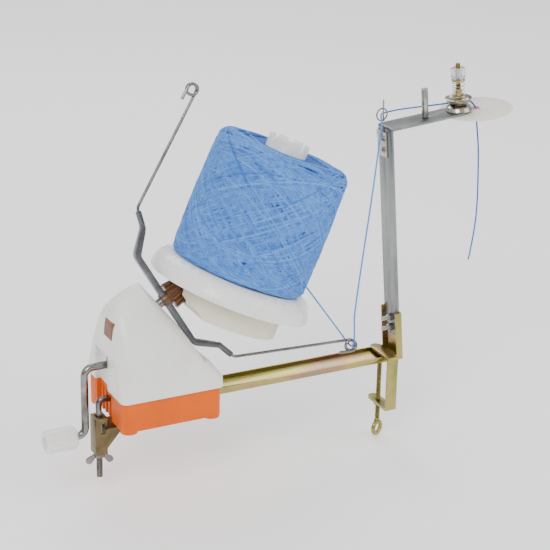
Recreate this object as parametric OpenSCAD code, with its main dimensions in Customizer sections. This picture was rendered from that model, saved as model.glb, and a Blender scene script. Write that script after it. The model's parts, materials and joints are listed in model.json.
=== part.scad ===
// Hand-cranked ball winder with an inclined flyer, a tilted spool, a table clamp
// and a thread tension on a folded mast.
// +X runs along the beam towards the mast, +Z is up. The origin is the middle of
// the housing's footprint, on the table top.

/* [Housing] */
// Length of the tray along the beam
tray_len = 110; // [105:1:130]
// Width of the tray
tray_wid = 98; // [94:1:114]
// Height of the tray's rim above the table
tray_h = 35; // [32:1:40]
// Wall of the tray
tray_wall = 2.5; // [2:0.1:3.5]
// Height of the corner feet
foot_h = 3; // [2:0.5:5]
// Wall of the moulded cover
cover_wall = 2.2; // [1.6:0.1:3]
// How far the cover stands out past the tray
cover_lip = 1.5; // [0.5:0.1:3]
// Depth of the bay in the crank end
bay_depth = 4; // [3:0.5:6]

/* [Drive] */
// Height of the crank's axis above the table
crank_z = 60; // [56:1:64]
// Diameter of the crank rod
crank_d = 8; // [6:0.5:10]
// Throw of the crank, from its axis to the knob's axis
crank_throw = 75; // [60:1:90]
// Length of the crank's knob
knob_len = 33; // [26:1:40]
// Diameter of the crank's knob
knob_d = 25; // [20:1:30]
// Teeth on the crank's bevel gear
crank_teeth = 48; // [48:4:48]
// Teeth on the flyer's bevel pinion
pinion_teeth = 12; // [12:1:12]
// Diameter of the fixed spindle inside the flyer's shaft
spindle_d = 6; // [5:0.5:7]
// Wall of the flyer's hollow shaft
shaft_wall = 1.9; // [1.5:0.1:2.2]

/* [Flyer] */
// Tilt of the flyer's axis above the horizontal
flyer_tilt = 29; // [29:1:29]
// Turn of the flyer at rest, about its own axis
flyer_turn = -12; // [-30:1:30]
// Half length of the flyer's flat bar
bar_reach = 64; // [58:1:68]
// Width of the flyer's bar
bar_w = 10; // [8:0.5:13]
// Thickness of the flyer's bar
bar_t = 3; // [2:0.5:3.5]
// Wire of the flyer's guides
wire_d = 3; // [2:0.5:4]
// Outer diameter of the eye on each guide
eye_d = 12.5; // [11:0.5:16]

/* [Spool] */
// Tilt of the spool's axis above the horizontal
spool_tilt = 66.5; // [66.5:1:66.5]
// Diameter of the spool's dished flange
flange_d = 176; // [160:1:178]
// Wall of the flange
flange_wall = 2.6; // [2:0.2:4]
// Diameter of the wound yarn at the flange
ball_d_low = 145; // [110:1:150]
// Diameter of the wound yarn at the top
ball_d_high = 137; // [100:1:150]
// Height of the wound yarn
ball_h = 132; // [90:1:140]
// Diameter of the core's tube at the flange
core_d_low = 50; // [42:1:56]
// Diameter of the core's tube at its top
core_d_high = 44; // [38:1:50]
// Outer diameter of the fixed gear drum under the flange
drum_d = 124; // [120:1:130]
// Diameter of the spool's fixed axle
axle_d = 8; // [6:0.5:10]
// Teeth on the spool's bevel gear
spool_teeth = 56; // [56:4:56]
// Teeth on the flyer's front pinion
front_teeth = 14; // [14:1:14]

/* [Beam and mast] */
// Distance from the origin to the beam's upright
beam_reach = 292; // [270:1:330]
// Width of the beam's channel
beam_w = 32; // [28:1:36]
// Height of the channel's flanges
beam_flange = 6; // [4:0.5:8]
// Sheet thickness of the channel
beam_t = 1.6; // [1.2:0.1:2.4]
// Height of the beam's underside above the table
beam_z = 9.5; // [8:0.5:12]
// Height of the upright above the beam's underside
upright_h = 56; // [50:1:70]
// Lean of the mast towards the spool
mast_lean = 5; // [0:0.5:8]
// Height of the arm above the beam's underside, along the mast
mast_h = 268; // [240:1:300]
// Length of the arm
arm_len = 96; // [90:1:110]
// Width of the mast's flat bar
mast_w = 28; // [24:1:28]
// Thickness of the mast's flat bar
mast_t = 2.5; // [2:0.5:3]

/* [Clamps] */
// Diameter of the hooked bolt at the crank end
hook_d = 6.5; // [5:0.5:7]
// Diameter of the eye screw in the beam's clamp
eye_screw_d = 5.3; // [4:0.1:6]
// Width of the beam's clamp
strap_w = 12.8; // [10:0.2:16]
// Thickness of the beam's clamp
strap_t = 3; // [2.5:0.5:4]
// Throat height of the beam's clamp, below the beam
strap_throat = 52; // [45:1:70]

/* [Thread tension] */
// Diameter of the tension's stud
stud_d = 5; // [4:0.5:6]
// Diameter of the saucer discs
saucer_d = 29; // [24:1:34]
// Diameter of the yarn guide disc
guide_d = 79; // [70:1:84]
// Diameter of the tension knob
tension_knob_d = 16; // [12:1:20]
// Diameter of the yarn
yarn_d = 1.8; // [1:0.1:2.5]

/* [Hidden] */
$fn = 48;

// Clearances
run = 0.06;         // radial gap of a shaft that turns in its bush
seat = 0;           // pieces of one body that touch
slip = 0.3;         // gap round a piece that only passes through
backlash = 0.16;    // share of the pitch left free between teeth

// Frames of the two tilted axes. The crank's and the flyer's axes meet at crank_apex,
// the flyer's and the spool's axes meet at spool_apex.
flyer_x = 14.5;
flyer_z = 122.6;
front_dist = 108;
crank_back = (flyer_z - crank_z) / sin(flyer_tilt);
crank_apex_x = flyer_x - crank_back * cos(flyer_tilt);
cross_angle = spool_tilt - flyer_tilt;
apex_x = flyer_x + front_dist * cos(flyer_tilt);
apex_z = flyer_z + front_dist * sin(flyer_tilt);

module in_flyer() translate([flyer_x, 0, flyer_z]) rotate([0, 90 - flyer_tilt, 0]) children();
module in_spool() translate([apex_x, 0, apex_z]) rotate([0, 90 - spool_tilt, 0]) children();
module in_crank() translate([crank_apex_x, 0, crank_z]) rotate([0, 90, 0]) children();
module in_mast() translate([beam_reach, 0, beam_z]) rotate([0, -mast_lean, 0]) children();
module in_arm(u) in_mast() translate([u, 0, mast_h]) children();

// A pipe of straight length from z = a to z = b
module tube(r_out, r_in, a, b) difference() {
    translate([0, 0, a]) cylinder(r = r_out, h = b - a);
    translate([0, 0, a - 1]) cylinder(r = r_in, h = b - a + 2);
}
module rod(r, a, b) translate([0, 0, a]) cylinder(r = r, h = b - a);

// A round wire that turns a corner: part of a ring in the XZ plane, from angle a0
// by sweep, round the point c
module wire_bend(c, radius, r, a0, sweep)
    translate(c) rotate([90, 0, 0]) rotate([0, 0, a0]) rotate_extrude(angle = sweep)
        translate([radius, 0]) circle(r = r);

// ---- Bevel teeth -------------------------------------------------------------
// Pitch angles of a pair whose axes meet at the angle ang, with z1 and z2 teeth
function pitch_angle(z1, z2, ang) = atan(sin(ang) / (z2 / z1 + cos(ang)));
function inv_deg(a) = tan(a) * 180 / PI - a;

tooth_pressure = 20;
addendum = 0.68;
dedendum = 0.95;

// One flank of a tooth, in the polar angle and the half thickness it has there.
// The tooth is the involute of the equivalent spur gear on the back cone.
function flank(z, delta, heights) =
    let (zv = z / cos(delta), rp = zv / 2, rb = rp * cos(tooth_pressure))
    [for (h = heights)
        let (rr = max(rp + h, rb),
             a = acos(rb / rr),
             half = 90 / zv * (1 - backlash) + inv_deg(tooth_pressure) - inv_deg(a))
        [delta + h / rp * tan(delta) * 180 / PI, half / cos(delta)]];

// Outline of a whole bevel gear on the unit sphere, tooth by tooth
function bevel_outline(z, delta, phase, heights) =
    let (f = flank(z, delta, heights), n = len(f))
    [for (i = [0:z - 1]) for (k = [0:2 * n - 1])
        let (mid = 360 * i / z + phase,
             p = k < n ? f[k] : f[2 * n - 1 - k],
             side = k < n ? -1 : 1)
        [p[0], mid + side * p[1]]];

// Ring of bevel teeth: its axis is Z, its cone's tip is the origin, the teeth run
// from the plane z = near to the plane z = far, and the ring's bore is r_in
module bevel_gear(z, delta, near, far, phase, heights, r_in) {
    ring = bevel_outline(z, delta, phase, heights);
    n = len(ring);
    points = concat(
        [for (d = [near, far]) for (p = ring)
            [d * tan(p[0]) * cos(p[1]), d * tan(p[0]) * sin(p[1]), d]],
        [for (d = [near, far]) for (p = ring)
            [(r_in + 0.02) * cos(p[1]), (r_in + 0.02) * sin(p[1]), d]]);
    polyhedron(
        points = points,
        faces = [for (i = [0:n - 1]) let (j = (i + 1) % n) for (f = [
            [i, j, 2 * n + j, 2 * n + i],
            [n + i, 3 * n + i, 3 * n + j, n + j],
            [i, n + i, n + j, j],
            [2 * n + i, 2 * n + j, 3 * n + j, 3 * n + i]]) f],
        convexity = 8);
}
wide_gear = [-dedendum, 0, addendum];

pinion_angle = pitch_angle(pinion_teeth, crank_teeth, flyer_tilt);
crank_angle = flyer_tilt - pinion_angle;
front_angle = pitch_angle(front_teeth, spool_teeth, cross_angle);
spool_angle = cross_angle - front_angle;

// ---- Swept round cord ---------------------------------------------------------
function unit(v) = v / norm(v);
function cord_dir(p, i) = unit(p[min(i + 1, len(p) - 1)] - p[max(i - 1, 0)]);
// A side direction that is carried along the route from ring to ring
function carry(p, i, side) =
    let (d = cord_dir(p, i), s = unit(side - (side * d) * d))
    i == len(p) - 1 ? [s] : concat([s], carry(p, i + 1, s));
module cord(p, r, sides = 8) {
    side = carry(p, 0, [0, 1, 0.02]);
    n = len(p);
    points = [for (i = [0:n - 1]) let (s = side[i], t = cross(cord_dir(p, i), s))
        for (k = [0:sides - 1]) p[i] + r * (cos(360 * k / sides) * s + sin(360 * k / sides) * t)];
    polyhedron(points = points, faces = concat(
        [[for (k = [0:sides - 1]) k]],
        [[for (k = [0:sides - 1]) n * sides - 1 - k]],
        [for (i = [0:n - 2]) for (k = [0:sides - 1])
            let (a = i * sides, b = (k + 1) % sides)
            [a + b, a + k, a + sides + k, a + sides + b]]), convexity = 10);
}
// Points on a smooth curve through the route's own points (Catmull-Rom)
function curve_point(a, b, c, d, t) =
    0.5 * ((2 * b) + (c - a) * t + (2 * a - 5 * b + 4 * c - d) * t * t
        + (3 * b - a - 3 * c + d) * t * t * t);
function smooth(p, steps) =
    let (n = len(p))
    concat([for (i = [0:n - 2]) for (k = [0:steps - 1])
        curve_point(p[max(i - 1, 0)], p[i], p[i + 1], p[min(i + 2, n - 1)], k / steps)],
        [p[n - 1]]);

// ---- Housing --------------------------------------------------------------------
module rounded_plate(len_x, len_y, r, h)
    linear_extrude(h) union() {
        square([len_x - 2 * r, len_y], center = true);
        square([len_x, len_y - 2 * r], center = true);
        for (i = [-1, 1]) for (j = [-1, 1])
            translate([i * (len_x / 2 - r), j * (len_y / 2 - r)]) circle(r = r);
    }

tray_r = 8;
tray_floor = 3;
bay_lo = -17;
bay_hi = 24;
hook_hole_z = 22;
hook_hole_d = hook_d + 2;
screw_d = 4;
frame_screw_x = [-38, -18];
beam_screw_x = [10, 34];
frame_screw_y = 22;

module base_tray() color([0.88, 0.29, 0.06]) difference() {
    union() {
        difference() {
            translate([0, 0, foot_h]) rounded_plate(tray_len, tray_wid, tray_r, tray_h - foot_h);
            translate([0, 0, foot_h + tray_floor])
                rounded_plate(tray_len - 2 * tray_wall, tray_wid - 2 * tray_wall,
                    tray_r - tray_wall, tray_h);
        }
        // the bay's own back wall, set in from the end
        translate([-tray_len / 2, bay_lo - tray_wall, foot_h])
            cube([bay_depth + tray_wall, bay_hi - bay_lo + 2 * tray_wall, tray_h - foot_h]);
        // upright ribs on the bay's back wall
        for (y = [bay_lo + 6 : 9 : bay_hi - 4])
            translate([-tray_len / 2 + bay_depth - 1.2, y, foot_h])
                cylinder(r = 1.6, h = tray_h - foot_h - 6);
        // rounded feet under the corners
        for (i = [-1, 1]) for (j = [-1, 1])
            translate([i * (tray_len / 2 - 9), j * (tray_wid / 2 - 9), 0])
                cylinder(r = 9, h = foot_h + 1);
        // pillars that carry the cover's screws
        for (j = [-1, 1]) for (i = [-1, 1])
            translate([i * (tray_len / 2 - 8), j * (tray_wid / 2 - 8), foot_h])
                cylinder(r = 4, h = tray_h - foot_h);
        // pads under the beam and the gear frame
        translate([-4, -beam_w / 2 - 2, foot_h])
            cube([tray_len / 2, beam_w + 4, beam_z - foot_h]);
    }
    // the bay is open to the end
    translate([-tray_len / 2 - 1, bay_lo, -1]) cube([bay_depth + 1 - 1.2, bay_hi - bay_lo, tray_h + 2]);
    difference() {
        translate([-tray_len / 2 - 1, bay_lo, -1])
            cube([bay_depth + 1, bay_hi - bay_lo, tray_h + 2]);
        for (y = [bay_lo + 6 : 9 : bay_hi - 4])
            translate([-tray_len / 2 + bay_depth - 1.2, y, foot_h])
                cylinder(r = 1.6, h = tray_h - foot_h - 6);
    }
    // the beam leaves through the end wall
    translate([tray_len / 2 - 6, -beam_w / 2 - slip, beam_z])
        cube([10, beam_w + 2 * slip, beam_flange + slip]);
    // hole for the hooked bolt
    translate([-tray_len / 2 - 1, 0, hook_hole_z]) rotate([0, 90, 0])
        cylinder(d = hook_hole_d, h = bay_depth + tray_wall + 3);
    // screw holes
    for (x = frame_screw_x) for (j = [-1, 1])
        translate([x, j * frame_screw_y, -1]) cylinder(d = screw_d, h = 12);
    for (x = beam_screw_x) translate([x, 0, -1]) cylinder(d = screw_d, h = 12);
    // recess under the floor, between the feet
    translate([0, 0, -1]) rounded_plate(tray_len - 30, tray_wid - 30, 4, foot_h + 1.6);
}

// Stations of the cover, from the rim to the ridge: height, end face, half width and
// corner radius. The front slope is worked out from the height.
front_foot_x = 57.5;
front_foot_z = 46;
front_slope = 37.2;
function cover_front(z) = front_foot_x - max(z - front_foot_z, 0) * tan(front_slope);
end_x = -tray_len / 2 - cover_lip;
rim_y = tray_wid / 2 + cover_lip;
cover_stations = [
    [35, 0, 0, 7], [46, 0, 0, 9], [57, 0.2, 1.5, 13], [66, 0.4, 3, 15], [75, 0.7, 5, 17],
    [84, 1, 8, 18], [92, 1.4, 11.5, 18], [100, 2, 16, 17], [107, 2.8, 20.5, 15.5],
    [113, 4, 24.8, 14], [119, 6.5, 29.5, 12], [125, 10.5, 34.3, 10], [131, 16, 38.8, 8],
    [136, 23, 42.3, 6.2], [140, 30, 45, 4.6], [143, 36.5, 47.5, 2.6]
];
corner_steps = 6;
// One level section of the cover, drawn in by the wall w
function cover_ring(s, w) =
    let (x0 = end_x + s[1] + w, x1 = cover_front(s[0]) - w * (s[0] > front_foot_z ? 1.25 : 1),
         hw = rim_y - s[2] - w * (s[0] > 100 ? 1.3 : 1),
         r = max(min(s[3] - w, hw - 0.1, (x1 - x0) / 2 - 0.1), 0.4))
    [for (c = [[x1 - r, hw - r, 0], [x0 + r, hw - r, 90], [x0 + r, r - hw, 180], [x1 - r, r - hw, 270]])
        for (k = [0:corner_steps])
            [c[0] + r * cos(c[2] + 90 * k / corner_steps), c[1] + r * sin(c[2] + 90 * k / corner_steps), s[0]]];
module cover_loft(stations, w, low, drop) {
    rings = [for (i = [0:len(stations) - 1]) let (p = cover_ring(stations[i], w))
        [for (q = p) [q[0], q[1], i == 0 ? low : q[2] - drop]]];
    n = len(rings[0]);
    m = len(rings);
    polyhedron(points = [for (r = rings) for (p = r) p], faces = concat(
        [[for (k = [0:n - 1]) k]],
        [[for (k = [0:n - 1]) m * n - 1 - k]],
        [for (i = [0:m - 2]) for (k = [0:n - 1])
            let (a = i * n, b = (k + 1) % n) [a + b, a + k, a + n + k, a + n + b]]), convexity = 6);
}
scoop_r = 76;
scoop_s = -9;
shaft_r = spindle_d / 2 + run + shaft_wall;
bay_roof = crank_z + 13;
module cover() color([0.94, 0.94, 0.92]) difference() {
    cover_loft(cover_stations, 0, tray_h, 0);
    difference() {
        cover_loft([for (i = [0:len(cover_stations) - 2]) cover_stations[i]], cover_wall,
            tray_h - 1, cover_wall * 0.4);
        // walls round the bay in the end face
        translate([end_x - 1, bay_lo - 1, tray_h - 2])
            cube([bay_depth + cover_lip + 1 + cover_wall, bay_hi - bay_lo + 2, bay_roof - tray_h + 2 + cover_wall]);
        // the dished front keeps its wall
        in_flyer() translate([0, 0, scoop_s - cover_wall]) cylinder(r = scoop_r + cover_wall, h = 90);
    }
    // bay in the end face, under and round the crank
    translate([end_x - 1, bay_lo + 7.5, tray_h - 1])
        cube([bay_depth + cover_lip + 1, bay_hi - bay_lo - 7.5, bay_roof - tray_h + 1]);
    // round dish cut square to the flyer's axis
    in_flyer() translate([0, 0, scoop_s]) cylinder(r = scoop_r, h = 90);
    // holes for the flyer's shaft and for the crank
    in_flyer() rod(shaft_r + 3.4, -40, 0);
    translate([end_x, 0, crank_z]) rotate([0, 90, 0]) cylinder(d = crank_d + 8, h = 20);
}

label_z = 103;
label_w = 20;
label_h = 18;
module label_plate() color([0.49, 0.29, 0.14]) difference() {
    intersection() {
        cover_loft(cover_stations, -0.7, tray_h, 0);
        translate([end_x - 5, -19, label_z - label_h / 2]) cube([16, label_w, label_h]);
    }
    cover_loft(cover_stations, 0, tray_h - 1, 0);
}

// ---- Drive inside the housing -------------------------------------------------------
gear_near = 68;
gear_far = 80;
plate_t = 3;
left_plate_x = -45;
right_plate_x = -14;
bush_wall = 2;
flyer_boss_lo = -42;
flyer_boss_hi = -20;
anchor_lo = -68;
anchor_hi = -59.5;
frame_floor = foot_h + tray_floor;
module gear_frame() color([0.55, 0.56, 0.57]) difference() {
    union() {
        translate([left_plate_x, -28, frame_floor]) cube([right_plate_x - left_plate_x + plate_t, 56, plate_t]);
        translate([left_plate_x, -17, frame_floor]) cube([plate_t, 34, 82 - frame_floor]);
        translate([left_plate_x, 0, 82]) rotate([0, 90, 0]) cylinder(r = 17, h = plate_t);
        translate([right_plate_x, -22, frame_floor]) cube([plate_t, 44, 86 - frame_floor]);
        translate([right_plate_x, 0, 98]) rotate([0, 90, 0]) cylinder(r = 16, h = plate_t);
        translate([right_plate_x, -16, 80]) cube([plate_t, 32, 18]);
        in_flyer() rod(shaft_r + bush_wall + 3, flyer_boss_lo + 4, flyer_boss_hi);
        in_flyer() rod(spindle_d / 2 + 4, anchor_lo, anchor_hi);
        // crank bearing bosses
        for (x = [left_plate_x, right_plate_x])
            translate([x, 0, crank_z]) rotate([0, 90, 0]) cylinder(d = crank_d + 9, h = 8);
    }
    in_flyer() rod(shaft_r + run + bush_wall, flyer_boss_lo, flyer_boss_hi + 4);
    in_flyer() rod(spindle_d / 2, anchor_lo - 30, anchor_hi + 30);
    in_flyer() rod(shaft_r + 4, anchor_hi, flyer_boss_lo + 3.9);
    translate([left_plate_x - 4, 0, crank_z]) rotate([0, 90, 0])
        cylinder(d = crank_d + 2 * run + 2 * bush_wall, h = 60);
    for (x = frame_screw_x) for (j = [-1, 1])
        translate([x, j * frame_screw_y, 0]) cylinder(d = screw_d, h = 20);
}
module pan_screw(d, head_d, head_h, len) {
    translate([0, 0, -len]) cylinder(d = d, h = len);
    difference() {
        intersection() {
            cylinder(d = head_d, h = head_h);
            translate([0, 0, head_h - head_d * 0.72]) sphere(r = head_d * 0.72);
        }
        for (a = [0, 90]) rotate([0, 0, a])
            translate([-head_d * 0.3, -head_d * 0.06, head_h * 0.45]) cube([head_d * 0.6, head_d * 0.12, head_h]);
    }
}
module frame_screws() color([0.7, 0.7, 0.68])
    for (x = frame_screw_x) for (j = [-1, 1])
        translate([x, j * frame_screw_y, frame_floor + plate_t]) pan_screw(screw_d, 7.6, 2.6, 7);

crank_end_x = right_plate_x + 11;
module crank_bushes() color([0.72, 0.55, 0.28])
    for (x = [left_plate_x, right_plate_x]) translate([x, 0, crank_z]) rotate([0, 90, 0])
        tube(crank_d / 2 + run + bush_wall, crank_d / 2 + run, 0, 8);
module flyer_bush() color([0.72, 0.55, 0.28]) in_flyer()
    tube(shaft_r + run + bush_wall, shaft_r + run, flyer_boss_lo + 4, flyer_boss_hi);

carrier_boss_lo = 25;
carrier_boss_hi = 34;
module fixed_spindle() color([0.75, 0.76, 0.78]) in_flyer()
    rod(spindle_d / 2, anchor_lo - 3, carrier_boss_hi - 2);

// Fixed drum that holds the spool's axle and covers the lower gear pair
drum_low = -89;
drum_high = -61;
drum_wall = 2.6;
drum_cut = 12;
front_pinion_far = front_dist - 2.3;
front_gear_near = 84;
front_gear_far = 92;
pinion_room = 15.5;
module gear_carrier() color([0.87, 0.85, 0.74]) difference() {
    union() {
        difference() {
            in_spool() rod(drum_d / 2, drum_low, drum_high);
            in_spool() rod(drum_d / 2 - drum_wall, drum_low + drum_wall, drum_high + 1);
        }
        // flat that faces the flyer's pinion
        intersection() {
            in_spool() rod(drum_d / 2, drum_low, drum_high);
            in_flyer() translate([0, 0, drum_cut]) rod(90, 0, drum_wall);
        }
        // crossbar that grips the fixed spindle
        intersection() {
            in_spool() rod(drum_d / 2, drum_low, drum_high + 12);
            in_flyer() union() {
                rod(7.5, carrier_boss_lo, carrier_boss_hi);
                translate([-5, -60, carrier_boss_lo]) cube([10, 120, carrier_boss_hi - carrier_boss_lo]);
            }
        }
        in_spool() rod(axle_d / 2 + 4, drum_low, drum_low + 6);
    }
    in_flyer() translate([0, 0, drum_cut - 90]) rod(120, 0, 90);
    in_flyer() rod(pinion_room, 0, carrier_boss_lo - 1);
    in_flyer() rod(spindle_d / 2, 0, carrier_boss_hi - 2);
    in_spool() rod(axle_d / 2, drum_low + 2, 0);
}
axle_high = 101;
module spool_axle() color([0.75, 0.76, 0.78]) in_spool() rod(axle_d / 2, drum_low + 2, axle_high);

// ---- Beam, mast and clamps -----------------------------------------------------------
beam_start = -2;
bolt_d = 5;
bolt_h = [34, 46];
upright_lip = 6;
// A point of the upright, u in front of its outer face and h up it
function up(u, h) = [beam_reach + u * cos(mast_lean) - h * sin(mast_lean),
    beam_z + u * sin(mast_lean) + h * cos(mast_lean)];
lip_u = -upright_lip - beam_t;
lip_corner = (beam_flange - lip_u * sin(mast_lean)) / cos(mast_lean);
floor_corner = beam_t * (1 + sin(mast_lean)) / cos(mast_lean);
module beam() color([0.72, 0.68, 0.42]) difference() {
    rotate([90, 0, 0]) translate([0, 0, -beam_w / 2]) linear_extrude(beam_w) polygon([
        [beam_start, beam_z], [beam_reach, beam_z], up(0, upright_h), up(lip_u, upright_h),
        up(lip_u, lip_corner), [beam_start, beam_z + beam_flange]]);
    rotate([90, 0, 0]) translate([0, 0, beam_t - beam_w / 2]) linear_extrude(beam_w - 2 * beam_t) polygon([
        [beam_start - 1, beam_z + beam_t], up(-beam_t, floor_corner), up(-beam_t, upright_h + 1),
        up(-30, upright_h + 1), up(-30, 30), [beam_start - 1, beam_z + 30]]);
    for (x = beam_screw_x) translate([x, 0, 0]) cylinder(d = screw_d, h = 20);
    in_mast() for (h = bolt_h) translate([-20, 0, h]) rotate([0, 90, 0]) cylinder(d = bolt_d, h = 40);
}
module beam_screws() color([0.7, 0.7, 0.68])
    for (x = beam_screw_x) translate([x, 0, beam_z + beam_t]) pan_screw(screw_d, 7.6, 2.4, 6);

mast_foot = 26;
bend_r = 3;
stud_u = 88;
post_u = 46;
post_d = 5.5;
post_h = 28;
clip_y = 4.5;
clip_w = 19;
clip_lo = mast_h - 34;
clip_hi = mast_h - 6;
clip_screw_h = [mast_h - 14, mast_h - 26];
clip_screw_y = 1;
module mast() color([0.62, 0.63, 0.64]) difference() {
    in_mast() union() {
        translate([-beam_t - mast_t, -mast_w / 2, mast_foot]) cube([mast_t, mast_w, mast_h - mast_foot - bend_r]);
        // bend into the arm
        translate([-beam_t - mast_t + bend_r, mast_w / 2, mast_h - bend_r]) rotate([90, 0, 0])
            intersection() {
                tube(bend_r, bend_r - mast_t, 0, mast_w);
                translate([-bend_r, 0, 0]) cube([bend_r, bend_r, mast_w]);
            }
        translate([-beam_t - mast_t + bend_r, -mast_w / 2, mast_h - mast_t])
            cube([arm_len - mast_w / 2 + beam_t, mast_w, mast_t]);
        translate([arm_len - mast_w / 2, 0, mast_h - mast_t]) cylinder(d = mast_w, h = mast_t);
    }
    in_mast() for (h = bolt_h) translate([-20, 0, h]) rotate([0, 90, 0]) cylinder(d = bolt_d, h = 40);
    in_mast() for (h = clip_screw_h) translate([-20, clip_screw_y, h]) rotate([0, 90, 0]) cylinder(d = 3, h = 30);
    in_arm(stud_u) rod(stud_d / 2, -10, 10);
    in_arm(post_u) rod(post_d / 2 - 0.75, -10, 10);
}
module hex_bolt(d, len) {
    translate([0, 0, -len]) cylinder(d = d, h = len);
    cylinder(d = d * 1.8, h = d * 0.6, $fn = 6);
}
module mast_bolts() color([0.72, 0.73, 0.74])
    in_mast() for (h = bolt_h) translate([0, 0, h]) rotate([0, 90, 0]) hex_bolt(bolt_d, 16);
module mast_nuts() color([0.72, 0.73, 0.74])
    in_mast() for (h = bolt_h) translate([-beam_t - mast_t, 0, h]) rotate([0, -90, 0])
        difference() {
            cylinder(d = bolt_d * 1.8, h = bolt_d * 0.8, $fn = 6);
            translate([0, 0, -1]) cylinder(d = bolt_d, h = bolt_d + 2);
        }

clip_t = 1.4;
clip_u = -beam_t - mast_t - clip_t;
module guide_clip() color([0.58, 0.56, 0.52]) in_mast() difference() {
    union() {
        translate([clip_u, clip_y - clip_w / 2, clip_lo]) cube([clip_t, clip_w, clip_hi - clip_lo]);
        // pressed bridge that grips the wire
        translate([clip_u - 1.2, clip_y + 1.2, clip_hi - 7]) cube([1.2 + clip_t, 7, 7]);
    }
    for (h = clip_screw_h) translate([-20, clip_screw_y, h]) rotate([0, 90, 0]) cylinder(d = 3, h = 30);
    translate([clip_u, pig_y, clip_hi - 8]) cylinder(r = pig_r, h = 12);
}
module guide_screws() color([0.8, 0.8, 0.8])
    in_mast() for (h = clip_screw_h) translate([clip_u, clip_screw_y, h]) rotate([0, -90, 0])
        pan_screw(3, 6.4, 2.4, 6);

// Wire guide with an upright spike and two open turns that the yarn drops into
pig_r = 0.9;
pig_y = 5;
pig_loop_r = 5;
pig_z = mast_h + 14;
module pigtail_guide() color([0.35, 0.34, 0.33]) in_mast() translate([clip_u, pig_y, 0]) {
    cord(smooth(concat(
        [[0, 0, clip_hi - 7], [0, 0, mast_h - 2], [-0.5, -1.5, mast_h + 4]],
        [for (a = [-60:30:420])
            [-1 - 6.5 * (a + 60) / 480, pig_loop_r * cos(a) + 0.6, pig_z + pig_loop_r * sin(a) * 1.25]],
        [[-7.5, 1.5, pig_z + 9], [-7.2, 1.2, pig_z + 17]]), 2), pig_r);
}
module guide_post() color([0.72, 0.74, 0.76]) in_arm(post_u) {
    rod(post_d / 2, 0, post_h);
    rod(post_d / 2 - 0.75, -mast_t - 1, 0.5);
}

// ---- Thread tension ----------------------------------------------------------------------
sleeve_r = 4;
sleeve_h = 21;
saucer_r = saucer_d / 2;
saucer_t = 0.8;
pinch = 6.3;
thread_pitch = 0.8;
seat_h = 33;
seat_t = 1;
knob_h = 13;
module tension_stud() color([0.66, 0.6, 0.36]) in_arm(stud_u) {
    rod(stud_d / 2, -guide_gap - guide_t - 4, 52);
    // nut under the guide disc
    translate([0, 0, -guide_gap - guide_t - 3.2]) cylinder(d = 9.2, h = 3.2, $fn = 6);
}
module tension_sleeve() color([0.78, 0.66, 0.34]) in_arm(stud_u) difference() {
    union() {
        rod(sleeve_r + 1.8, 0, 1.4);
        rod(sleeve_r, 1, sleeve_h);
        translate([0, 0, sleeve_h]) cylinder(r1 = sleeve_r - 0.6, r2 = stud_d / 2 + 0.5, h = 3);
    }
    rod(stud_d / 2, -1, sleeve_h + 5);
}
// A saucer of sheet metal: flat middle, flared rim that falls away from the yarn
module saucer() rotate_extrude() polygon([
    [sleeve_r + run, 0], [8.2, 0], [10.5, 0.5], [12.6, 1.9], [saucer_r - 0.4, 4.6], [saucer_r, 5.6],
    [saucer_r - 0.9, 5.9], [saucer_r - 1.3, 4.9], [11.9, 2.6], [10.1, 1.3], [8, saucer_t],
    [sleeve_r + run, saucer_t]]);
module lower_saucer() color([0.8, 0.78, 0.72]) in_arm(stud_u)
    translate([0, 0, pinch]) mirror([0, 0, 1]) saucer();
upper_at = pinch + yarn_d + 0.1;
module upper_saucer() color([0.82, 0.8, 0.74]) in_arm(stud_u)
    translate([0, 0, upper_at]) saucer();
spring_r = 6.6;
spring_wire = 0.8;
spring_turns = 6;
spring_lo = upper_at + saucer_t + spring_wire / 2;
spring_hi = seat_h - spring_wire / 2;
module tension_spring() color([0.75, 0.74, 0.7]) in_arm(stud_u)
    cord([for (k = [0:12 * spring_turns])
        let (a = 30 * k, t = k / (12 * spring_turns))
        [spring_r * cos(a), spring_r * sin(a), spring_lo + (spring_hi - spring_lo) * t]],
        spring_wire / 2 - 0.02, 6);
module spring_seat() color([0.75, 0.72, 0.6]) in_arm(stud_u)
    tube(spring_r + 1, stud_d / 2 + run, seat_h, seat_h + seat_t);
module tension_knob() color([0.9, 0.92, 0.95, 0.5]) in_arm(stud_u) translate([0, 0, seat_h + seat_t]) difference() {
    rotate_extrude() polygon([[stud_d / 2 + run, 0], [4.6, 0], [tension_knob_d / 2 - 0.6, 2.4],
        [tension_knob_d / 2, 3.2], [tension_knob_d / 2, knob_h - 0.8], [tension_knob_d / 2 - 0.8, knob_h],
        [stud_d / 2 + run, knob_h]]);
    for (a = [0:30:330]) rotate([0, 0, a]) translate([tension_knob_d / 2 + 0.5, 0, 3])
        cylinder(r = 1.3, h = knob_h);
}

guide_t = 1.8;
guide_gap = mast_t;
guide_u = 22;
eyelet_r = 3.4;
module guide_disc() color([0.92, 0.91, 0.84]) in_arm(stud_u) difference() {
    translate([guide_u, 0, -guide_gap - guide_t]) cylinder(d = guide_d, h = guide_t);
    rod(stud_d / 2, -20, 20);
    translate([guide_u, 0, -20]) cylinder(r = eyelet_r, h = 40);
}
module disc_eyelet() color([0.75, 0.45, 0.6]) in_arm(stud_u) translate([guide_u, 0, 0])
    difference() {
        union() {
            rod(eyelet_r, -guide_gap - guide_t - 0.8, -guide_gap + 0.8);
            rod(eyelet_r + 1.2, -guide_gap, -guide_gap + 0.8);
            rod(eyelet_r + 1.2, -guide_gap - guide_t - 0.8, -guide_gap - guide_t);
        }
        rod(eyelet_r - 1, -30, 30);
    }

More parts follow.
